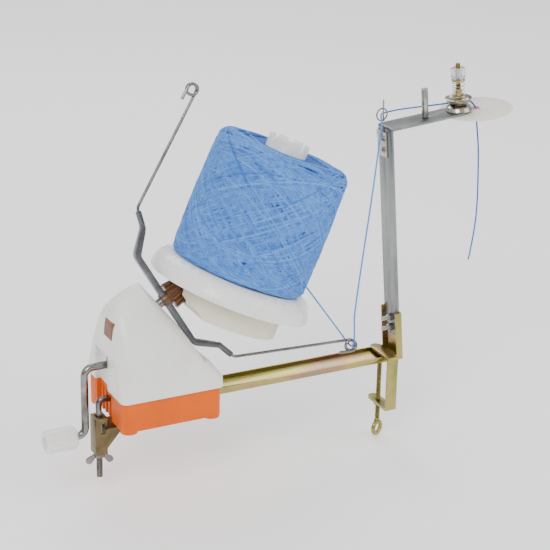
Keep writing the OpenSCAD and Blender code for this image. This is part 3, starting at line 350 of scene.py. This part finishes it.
KHAKI = [(0.3, (0.09, 0.07, 0.03)), (0.5, (0.15, 0.115, 0.055)), (0.7, (0.2, 0.16, 0.085))]
bracket_khaki = plated("bracket_khaki", KHAKI, 0.38, 40, metal=0.85, depth=0.25)
beam_zinc = plated("beam_zinc", YELLOW_ZINC, 0.27, 16, (0.5, 1, 1), (0.04, 1, 1), 0.14)
clamp_zinc = plated("clamp_zinc", YELLOW_ZINC, 0.3, 34, (1, 1, 0.6), (1, 1, 0.05), 0.18)
mast_zinc = plated("mast_zinc", BRIGHT_ZINC, 0.33, 24, (1, 1, 0.4), (1, 1, 0.03), 0.2, turn=(0, MAST_LEAN, 0))
DARK_ZINC = [(0.3, (0.09, 0.093, 0.1)), (0.7, (0.19, 0.195, 0.205))]
bar_zinc = plated("bar_zinc", DARK_ZINC, 0.27, 40, drawn=(0.06, 1, 1), depth=0.15, turn=(0, 0.5, 0))
frame_steel = plated("frame_steel", BRIGHT_ZINC, 0.34, 30)
screw_zinc = plated("screw_zinc", [(0.3, (0.28, 0.28, 0.25)), (0.7, (0.48, 0.48, 0.44))], 0.28, 120)
plated_wire = plated("plated_wire", CHROME, 0.16, 50, depth=0.06)
spindle_steel = plated("spindle_steel", CHROME, 0.2, 40)
clip_steel = plated("clip_steel", [(0.3, (0.36, 0.34, 0.28)), (0.7, (0.52, 0.49, 0.4))], 0.32, 60)
plain_brass = plated("plain_brass", [(0.3, (0.5, 0.36, 0.13)), (0.7, (0.68, 0.52, 0.24))], 0.24, 70)
bush_bronze = plated("bush_bronze", [(0.3, (0.4, 0.26, 0.11)), (0.7, (0.55, 0.38, 0.17))], 0.35, 70)
saucer_steel = plated("saucer_steel", [(0.3, (0.26, 0.24, 0.2)), (0.7, (0.5, 0.47, 0.42))], 0.18, 80)
spring_steel = plated("spring_steel", [(0.3, (0.45, 0.43, 0.4)), (0.7, (0.66, 0.64, 0.6))], 0.22, 80)
bolt_thread = threaded("bolt_thread", CHROME, 0.001, (0, 0, 0), -0.08, -0.02)
eye_thread = threaded("eye_thread", YELLOW_ZINC, 0.001, (0, 0, 0), -0.066, 0.02)
stud_thread = threaded("stud_thread", YELLOW_ZINC, 0.0008, (0, MAST_LEAN, 0), 0.1, 0.6)
ball_wool = spun_yarn("ball_wool", (0.2, 0.46, 0.93), (0.085, 0.28, 0.78), (0.022, 0.1, 0.42))
# a darker copy of the ball's wool for the body under the wraps: painted shade in the gaps between the wraps
under_wool_painted_shade = spun_yarn("under_wool_painted_shade", (0.11, 0.33, 0.8), (0.05, 0.19, 0.58), (0.018, 0.08, 0.34))
strand_wool = spun_yarn("strand_wool", (0.1, 0.33, 0.78), (0.05, 0.2, 0.58), (0.025, 0.1, 0.36))


def clear_plastic():
    """Clear moulded plastic, a little scuffed."""
    material, tree, shader = new_material("knob_clear")
    space = object_space(tree)
    tint = tones(tree, noise(tree, space, 90, 4), [(0.3, (0.86, 0.88, 0.88)), (0.7, (0.97, 0.98, 0.98))])
    tree.links.new(tint, shader.inputs["Base Color"])
    tree.links.new(spread(tree, noise(tree, space, 240, 4), 0.06, 0.16), shader.inputs["Roughness"])
    relief(tree, shader, noise(tree, space, 300, 2), 0.08, 0.0003)
    shader.inputs["Transmission Weight"].default_value = 0.8
    shader.inputs["IOR"].default_value = 1.49
    return material


knob_clear = clear_plastic()

PLAIN_NODES = [
    (frame_steel, "gear_frame"),
    (spindle_steel, "fixed_spindle spool_axle flyer_shaft"),
    (screw_zinc, "frame_screws beam_screws guide_screws crank_clip knob_screw"),
    (bush_bronze, "crank_bushes flyer_bush"),
    (gear_nylon, "crank_gear crank_hub flyer_pinion spool_gear"),
    (hub_brown, "front_pinion"),
    (knob_white, "core_cap"),
    (label_brown, "label_plate"),
    (eyelet_pink, "disc_eyelet"),
    (spring_steel, "tension_spring"),
    (clip_steel, "clamp_pad"),
    (plain_brass, "spring_seat tension_sleeve"),
    (saucer_steel, "upper_saucer lower_saucer"),
    (plated_wire, "crank_rod"),
    (stud_thread, "tension_stud"),
    (eye_thread, "eye_screw"),
    (bolt_thread, "hook_bolt"),
    (knob_clear, "tension_knob"),
]
for material, members in PLAIN_NODES:
    for node in members.split():
        dress(nodes[node], material)


# ---------------------------------------------------------------- yarn runs
YARN_RADIUS = 0.0009


def poly_curve(name, route, radius, facets):
    """A round cord or bar along a route, with closed ends."""
    data = bpy.data.curves.new(name, "CURVE")
    data.dimensions = "3D"
    data.bevel_depth = radius
    data.bevel_resolution = facets
    data.use_fill_caps = True
    spline = data.splines.new("POLY")
    spline.points.add(len(route) - 1)
    for point, place in zip(spline.points, route):
        point.co = (*place, 1)
    run = bpy.data.objects.new(name, data)
    bpy.context.scene.collection.objects.link(run)
    return run


def smooth_route(points, steps):
    """A smooth curve through points given in millimetres."""
    points = [Vector(p) / 1000 for p in points]
    route = []
    for i in range(len(points) - 1):
        a, b, c, d = points[max(i - 1, 0)], points[i], points[i + 1], points[min(i + 2, len(points) - 1)]
        for k in range(steps):
            t = k / steps
            square, cube = 2 * a - 5 * b + 4 * c - d, 3 * b - a - 3 * c + d
            route.append(0.5 * (2 * b + (c - a) * t + square * t * t + cube * t ** 3))
    return route + [points[-1]]


def lay_yarn(name, points, node, steps=6):
    route = smooth_route(points, steps)
    run = poly_curve(name, route, YARN_RADIUS, 3)
    run.data.materials.append(strand_wool)
    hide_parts(node)
    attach(run, body_of(node))
    return run


FEED_ROUTE = [
    (212.6, -34.3, 47.9), (212, -41.2, 49.2), (213.8, -41.4, 56), (217.3, -35, 67), (222, -26.5, 80),
    (232, -19, 128), (242, -13, 178),
    (252, -7, 232), (259.6, -1.5, 276), (261.4, 2.2, 285), (264.5, 8, 286.6), (272, 15, 286.2),
    (290, 17, 287), (312, 15, 288), (334, 10.6, 289.4), (344, 8, 290.45), (355.6, 6.3, 291.42),
    (366, 6.6, 292.35), (371.5, 5.4, 292.4), (376, 2.4, 288),
    (378.4, 0.4, 283), (379.4, 0, 275), (382, 0, 258),
    (385, 0, 236), (387, 0, 205), (388, 0, 175), (387, 0, 148), (383, 0, 118), (381, 0, 108),
]
STRAND_ROUTE = [
    (146.3, 59.4, 167.4), (162, 37.8, 139.2), (177.6, 16.2, 111), (193.3, -5.4, 82.8), (208.9, -27, 54.6),
    (212, -30.8, 49), (212.6, -34.3, 47.9),
]
yarn_run = lay_yarn("yarn_run", FEED_ROUTE, "yarn_feed")
yarn_lead = lay_yarn("yarn_lead", STRAND_ROUTE, "yarn_strand")


# ---------------------------------------------------------------- wound yarn
BALL_LOW = -0.040  # of the flange plate, along the spool's axis
BALL_H = 0.137
R_LOW, R_HIGH = 0.0718, 0.0702
WIND_TILT = SPOOL_TILT - FLYER_TILT
WRAPS, WRAP_POINTS, WRAP_RADIUS, WRAP_SIDES = 300, 64, 0.00115, 5
WRAP_STEP = 0.2 * 1.0117  # share of a turn from one wrap to the next: five families that creep round
PACKED_DEPTH = 0.0019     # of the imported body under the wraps


def ball_radius(height):
    """Radius of the wound yarn at a height above the flange, with rounded shoulders."""
    t = np.clip(height / BALL_H, 0, 1)
    side = R_LOW + (R_HIGH - R_LOW) * t + 0.0012 * np.sin(math.pi * t)
    low = np.clip(1 - height / 0.007, 0, 1)
    high = np.clip(1 - (BALL_H - height) / 0.009, 0, 1)
    return side - 0.006 * (1 - np.sqrt(1 - low ** 2)) - 0.008 * (1 - np.sqrt(1 - high ** 2))


def wrap_loops(count, around, seed):
    """Closed loops of yarn: slices of the ball by planes square to the flyer's axis, one after another."""
    rng = np.random.default_rng(seed)
    index = np.arange(count)
    azimuth = 2 * math.pi * ((index * WRAP_STEP) % 1.0) + rng.normal(0, 0.012, count)
    wide, close = rng.uniform(-0.040, 0.040, count), rng.uniform(-0.013, 0.013, count)
    mid = BALL_H / 2 + np.where(index % 3 == 0, wide, close)
    tilt = WIND_TILT + rng.normal(0, 0.05, count)
    normal = np.stack([np.sin(tilt) * np.cos(azimuth), np.sin(tilt) * np.sin(azimuth), np.cos(tilt)], 1)
    flat = np.stack([-np.sin(azimuth), np.cos(azimuth), np.zeros(count)], 1)
    slope = np.cross(normal, flat)
    angle = np.linspace(0, 2 * math.pi, around, endpoint=False)
    ray = flat[:, None] * np.cos(angle)[None, :, None] + slope[:, None] * np.sin(angle)[None, :, None]
    inner = np.zeros((count, around))
    outer = np.full((count, around), 0.2)
    for _ in range(26):
        middle = (inner + outer) / 2
        height = mid[:, None] + middle * ray[..., 2]
        reach = middle * np.hypot(ray[..., 0], ray[..., 1])
        inside = (height > 0.001) & (height < BALL_H - 0.0006) & (reach < ball_radius(height))
        inner = np.where(inside, middle, inner)
        outer = np.where(inside, outer, middle)
    points = ray * inner[..., None]
    points[..., 2] += mid[:, None]
    lift = 0.0016 * (index / count)[:, None] - 0.0008 + 0.0002 * np.sin(3 * angle[None] + index[:, None])
    return points, lift


def tube_mesh(name, loops, lift, radius, sides):
    """One mesh of closed round loops, with UVs that run along each loop."""
    count, around, _ = loops.shape
    for _ in range(2):
        loops = 0.5 * loops + 0.25 * (np.roll(loops, 1, 1) + np.roll(loops, -1, 1))
    ahead = np.roll(loops, -1, 1) - np.roll(loops, 1, 1)
    ahead /= np.linalg.norm(ahead, axis=2, keepdims=True)
    centre = np.array([0, 0, BALL_H / 2])
    out = loops - centre
    out = out * np.array([1, 1, 0.35])
    out -= (out * ahead).sum(2, keepdims=True) * ahead
    out /= np.linalg.norm(out, axis=2, keepdims=True)
    side = np.cross(ahead, out)
    middle = loops + out * lift[..., None]
    ring = np.linspace(0, 2 * math.pi, sides, endpoint=False)
    cosine, sine = np.cos(ring)[None, None, :, None], np.sin(ring)[None, None, :, None]
    shell = middle[:, :, None] + radius * (cosine * out[:, :, None] + sine * side[:, :, None])
    verts = shell.reshape(-1, 3)
    i, j, k = np.meshgrid(np.arange(count), np.arange(around), np.arange(sides), indexing="ij")

    def at(jj, kk):
        return (i * around + jj % around) * sides + kk % sides
    quads = np.stack([at(j, k), at(j + 1, k), at(j + 1, k + 1), at(j, k + 1)], -1).reshape(-1, 4)
    mesh = bpy.data.meshes.new(name)
    mesh.from_pydata(verts.tolist(), [], quads.tolist())
    uv = mesh.uv_layers.new(name="UVMap")
    length = 0.46 / around * 1000
    u = np.stack([j, j + 1, j + 1, j], -1) * length + 900 * i[..., None]
    v = np.stack([k, k, k + 1, k + 1], -1) * (10.0 / sides)
    uv.data.foreach_set("uv", np.stack([u, v], -1).astype(np.float32).reshape(-1))
    mesh.polygons.foreach_set("use_smooth", np.ones(len(quads), bool))
    return mesh


def wind_ball():
    """The wraps that show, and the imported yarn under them."""
    loops, lift = wrap_loops(WRAPS, WRAP_POINTS, 7)
    mesh = tube_mesh("wound_yarn", loops, lift, WRAP_RADIUS, WRAP_SIDES)
    piece = bpy.data.objects.new("wound_yarn", mesh)
    bpy.context.scene.collection.objects.link(piece)
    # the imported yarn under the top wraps, turned from its own outline
    low, high = 0.0012, BALL_H - 0.0012
    heights = np.concatenate([
        [low], np.linspace(0.002, 0.012, 6), np.linspace(0.02, 0.112, 12), np.linspace(0.119, high, 7)])
    outline = [(float(ball_radius(h)) - PACKED_DEPTH, float(h)) for h in heights]
    outline = [(0.0255, low)] + outline + [(0.0235, high)]
    edges = [(a, (a + 1) % len(outline)) for a in range(len(outline))]
    core = bpy.data.meshes.new("packed_yarn")
    core.from_pydata([(r, 0, z) for r, z in outline], edges, [])
    packed = bpy.data.objects.new("packed_yarn", core)
    bpy.context.scene.collection.objects.link(packed)
    take(packed)
    bpy.ops.object.mode_set(mode="EDIT")
    bpy.ops.mesh.select_all(action="SELECT")
    bpy.ops.mesh.spin(steps=96, angle=2 * math.pi, center=(0, 0, 0), axis=(0, 0, 1))
    bpy.ops.mesh.select_all(action="SELECT")
    bpy.ops.mesh.remove_doubles(threshold=0.00001)
    bpy.ops.mesh.normals_make_consistent(inside=False)
    bpy.ops.object.mode_set(mode="OBJECT")
    bpy.ops.object.shade_smooth_by_angle(angle=math.radians(40))
    for part in (piece, packed):
        part.matrix_world = SPOOL_FRAME @ Matrix.Translation((0, 0, BALL_LOW))
        settle(part)
        # the body under the wraps wears the darker wool, painted shade between the wraps
        dress(part, ball_wool if part is piece else under_wool_painted_shade)
        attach(part, "spool")
    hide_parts("yarn_ball")


wind_ball()


# ---------------------------------------------------------------- flyer
FLYER_FRAME = (Matrix.Translation(FLYER_CENTRE) @ Matrix.Rotation(math.pi / 2 - FLYER_TILT, 4, "Y")
               @ Matrix.Rotation(math.radians(-12), 4, "Z"))
BEND_OUT, BEND_UP, CRIMP_END = (0.0555, -0.003), (0.0755, 0.0178), (0.0925, 0.0232)
EYE_CENTRE, EYE_RING, WIRE_R = Vector((0.165, 0.137)), 0.00565, 0.0016
# the channel's section in millimetres: across the flyer, and out along its axis
STRIP_SECTION = [
    (-5, -3.2), (5, -3.2), (5, 3.2), (3.6, 3.2), (3.6, -1.8), (-3.6, -1.8), (-3.6, 3.2), (-5, 3.2),
]
COIL_PITCH = 0.00325
TAIL_LENGTH = 0.014


def rounded_path(points, ease, steps=6):
    """The line through the points with each corner eased into a curve."""
    points = [Vector(p) for p in points]
    route = [points[0]]
    for a, b, c in zip(points, points[1:], points[2:]):
        start, end = b + (a - b).normalized() * ease, b + (c - b).normalized() * ease
        for k in range(steps + 1):
            u = k / steps
            route.append((1 - u) ** 2 * start + 2 * u * (1 - u) * b + u * u * end)
    return route + [points[-1]]


def mounted(piece, name, material, node, edge=0.0, place=FLYER_FRAME):
    """Sets a piece built in its own frame, the flyer's unless given, into place."""
    piece.name = name
    piece.matrix_world = place
    settle(piece)
    if edge:
        bevel = piece.modifiers.new("edges", "BEVEL")
        bevel.width = edge
        bevel.segments = 2
        bevel.limit_method = "ANGLE"
        bevel.angle_limit = math.radians(35)
        apply_modifiers(piece)
    take(piece)
    bpy.ops.object.shade_smooth_by_angle(angle=math.radians(35))
    dress(piece, material)
    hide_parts(node)
    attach(piece, body_of(node))
    return piece


def joined(parts):
    """The parts as one object."""
    take(parts[0])
    for part in parts[1:]:
        part.select_set(True)
    bpy.ops.object.join()
    return bpy.context.view_layer.objects.active


def round_bar(route, radius):
    """Round stock along a route, as a mesh."""
    bar = poly_curve("round_bar", route, radius, 5)
    take(bar)
    bpy.ops.object.convert(target="MESH")
    return bpy.context.view_layer.objects.active


def pressed_strip():
    """The flyer's channel with its two bends each side, narrowed to the tubes that grip the wires."""
    half = [BEND_OUT, BEND_UP, (0.0800, 0.0194)]
    route = rounded_path([(-x, z) for x, z in reversed(half)] + half, 0.004)
    verts = []
    for i, place in enumerate(route):
        ahead = (route[min(i + 1, len(route) - 1)] - route[max(i - 1, 0)]).normalized()
        narrow = 1 - 0.35 * min(max((abs(place.x) - 0.066) / 0.014, 0), 1)
        for across, out in STRIP_SECTION:
            depth = out * narrow / 1000
            verts.append((place.x - ahead.y * depth, across * narrow / 1000, place.y + ahead.x * depth))
    n = len(STRIP_SECTION)
    faces = [(a + k, a + (k + 1) % n, a + n + (k + 1) % n, a + n + k)
             for a in range(0, (len(route) - 1) * n, n) for k in range(n)]
    faces += [tuple(range(n)), tuple(reversed(range(len(verts) - n, len(verts))))]
    mesh = bpy.data.meshes.new("pressed_strip")
    mesh.from_pydata(verts, [], faces)
    strip = bpy.data.objects.new("pressed_strip", mesh)
    bpy.context.scene.collection.objects.link(strip)
    take(strip)
    bpy.ops.object.mode_set(mode="EDIT")
    bpy.ops.mesh.select_all(action="SELECT")
    bpy.ops.mesh.normals_make_consistent(inside=False)
    bpy.ops.object.mode_set(mode="OBJECT")
    crimp = [(0.0740, 0.0172), (0.0765, 0.0184), CRIMP_END]
    crimps = [round_bar([(side * x, 0, z) for x, z in crimp], 0.0031) for side in (1, -1)]
    return joined([strip] + crimps)


def guide_wire(side):
    """Wire from the crimp up to a coil of one and a half turns, with its tail turned back."""
    knee = Vector((0.0963, 0.0244))
    far = (EYE_CENTRE - knee).length
    aim = math.atan2(EYE_CENTRE.y - knee.y, EYE_CENTRE.x - knee.x) + math.asin(EYE_RING / far)
    touch = EYE_CENTRE + EYE_RING * Vector((-math.sin(aim), math.cos(aim)))
    route = [(p.x, 0, p.y) for p in rounded_path([(0.086, 0.0212), knee, touch], 0.004)]
    for k in range(1, 55):
        turn = aim + math.pi / 2 - math.radians(10 * k)
        x, z = EYE_CENTRE.x + EYE_RING * math.cos(turn), EYE_CENTRE.y + EYE_RING * math.sin(turn)
        route.append((x, -COIL_PITCH * k / 36, z))
    last = Vector(route[-1])
    route.append(tuple(last - TAIL_LENGTH * Vector((math.cos(aim), 0, math.sin(aim)))))
    return round_bar([(side * x, y, z) for x, y, z in route], WIRE_R)


def moulded_hub():
    """The brown block round the channel, with its sleeve."""
    parts = []
    bpy.ops.mesh.primitive_cube_add(size=1)
    block = bpy.context.active_object
    block.scale = (0.0115, 0.0124, 0.0084)
    block.location = (0, 0, -0.003)
    settle(block)
    parts.append(block)
    for radius, low, high in [(0.00756, -0.0065, 0.002), (0.0075, 0.001, 0.024)]:
        middle = (0, 0, (low + high) / 2)
        bpy.ops.mesh.primitive_cylinder_add(vertices=64, radius=radius, depth=high - low, location=middle)
        post = bpy.context.active_object
        settle(post)
        parts.append(post)
    return joined(parts)


mounted(pressed_strip(), "flyer_strip", bar_zinc, "flyer_bar", 0.0002)
mounted(joined([guide_wire(1), guide_wire(-1)]), "guide_wires", plated_wire, "flyer_wires")
mounted(moulded_hub(), "hub_moulded", hub_brown, "flyer_hub", 0.0004)


# ---------------------------------------------------------------- yarn guide on the mast
def pigtail():
    """Stem from the clip, a full ring that the yarn runs through, and the wire's end standing up inside it."""
    centre, ring = Vector((0.262, 0.002, 0.2889)), 0.0066
    stem = [(0.2655, 0.002, 0.2625), (0.2645, 0.0022, 0.2715), (0.2625, 0.0028, 0.2785)]
    stem.append((0.262, 0.003, centre.z - ring))
    loop = []
    for degrees in range(0, 401, 10):
        a = math.radians(degrees)
        loop.append((centre.x + ring * math.sin(a), 0.003 - 0.0018 * degrees / 400, centre.z - ring * math.cos(a)))
    end = [(0.2632, 0.0004, 0.2845), (0.2622, 0, 0.29), (0.262, 0, 0.3055)]
    return round_bar(stem + loop[1:-2] + end, 0.0008)


mounted(pigtail(), "pigtail_wire", plated_wire, "pigtail_guide", place=Matrix.Identity(4))

# ---------------------------------------------------------------- pieces with eased edges
EASED = [
    ("cover", "cover_shell", cover_white, 0.0007, 33),
    ("base_tray", "tray_shell", tray_orange, 0.0005, 35),
    ("spool_flange", "flange_shell", spool_white, 0.0003, 40),
    ("spool_core", "core_shell", spool_white, 0.0004, 35),
    ("gear_carrier", "drum_shell", drum_cream, 0.0005, 35),
    ("beam", "beam_channel", beam_zinc, 0.0003, 40),
    ("mast", "mast_strip", mast_zinc, 0.0004, 40),
    ("clamp_strap", "strap_bent", clamp_zinc, 0.0005, 40),
    ("clamp_jaw", "jaw_pressed", bracket_khaki, 0.0005, 35),
    ("crank_knob", "knob_ribbed", knob_white, 0.0004, 40),
    ("guide_disc", "guide_plate", guide_cream, 0.0005, 40),
    ("guide_clip", "clip_plate", clip_steel, 0.0003, 40),
    ("mast_bolts", "bolts_hex", screw_zinc, 0.0003, 40),
    ("mast_nuts", "nuts_hex", screw_zinc, 0.0003, 40),
]
for row in EASED:
    eased_copy(*row)

# the wing nut stands with its wings along the beam
wings = eased_copy("wing_nut", "nut_winged", plated_wire, 0.0004, 35)
bolt_axis = Matrix.Translation((-0.063, 0, 0))
wings.data.transform(bolt_axis @ Matrix.Rotation(math.radians(80), 4, "Z") @ bolt_axis.inverted())

# the guide post is thicker and taller than the plain one, on the same foot
post = eased_copy("guide_post", "post_round", screw_zinc, 0.0003, 35)
post_low = min((v.co.copy() for v in post.data.vertices), key=lambda c: c.z)
post_middle = sum((v.co for v in post.data.vertices), Vector()) / len(post.data.vertices)
half_height = post_middle.z - post_low.z
foot_place = (post_middle.x + math.tan(MAST_LEAN) * half_height, post_middle.y, post_low.z)
post_foot = Matrix.Translation(foot_place) @ Matrix.Rotation(-MAST_LEAN, 4, "Y")
post.data.transform(post_foot @ Matrix.Diagonal((1.3, 1.3, 1.13, 1)) @ post_foot.inverted())


# ---------------------------------------------------------------- floor and light
FLOOR_Z = -0.0885  # just under the lowest screw
LIGHTS = [  # name, place, size, power
    ("key_light", (-1.2, -1.4, 1.8), 1.2, 30),
    ("fill_light", (1.6, -1.2, 1.1), 1.5, 12),
    ("rim_light", (0.4, 1.6, 1.6), 1.2, 14),
]


def build_studio():
    deselect_all()
    bpy.ops.mesh.primitive_plane_add(size=12, location=(0, 0, FLOOR_Z))
    floor = bpy.context.active_object
    floor.name = "studio_floor"
    settle(floor)
    material, tree, shader = new_material("pale_floor")
    paper = [(0.3, (0.965, 0.965, 0.965)), (0.7, (0.98, 0.98, 0.98))]
    tree.links.new(tones(tree, noise(tree, object_space(tree), 3, 2), paper), shader.inputs["Base Color"])
    shader.inputs["Roughness"].default_value = 0.9
    shader.inputs["Specular IOR Level"].default_value = 0.1
    shader.inputs["Emission Color"].default_value = (1, 1, 1, 1)
    shader.inputs["Emission Strength"].default_value = 0.2
    dress(floor, material)
    world = bpy.data.worlds.new("studio")
    world.use_nodes = True
    sky = world.node_tree
    coords = sky.nodes.new("ShaderNodeTexCoord")
    split = sky.nodes.new("ShaderNodeSeparateXYZ")
    sky.links.new(coords.outputs["Generated"], split.inputs["Vector"])
    shade = tones(sky, split.outputs["Z"], [(0.0, (0.5, 0.5, 0.51)), (0.3, (0.74, 0.74, 0.74)), (0.75, (1, 1, 1))])
    sky.links.new(shade, sky.nodes["Background"].inputs["Color"])
    sky.nodes["Background"].inputs["Strength"].default_value = 1.12
    bpy.context.scene.world = world
    for name, place, size, power in LIGHTS:
        data = bpy.data.lights.new(name, "AREA")
        data.shape = "DISK"
        data.size = size
        data.energy = power
        light = bpy.data.objects.new(name, data)
        bpy.context.scene.collection.objects.link(light)
        light.location = place
        light.rotation_euler = (Vector((0.13, 0, 0.12)) - Vector(place)).to_track_quat("-Z", "Y").to_euler()


build_studio()
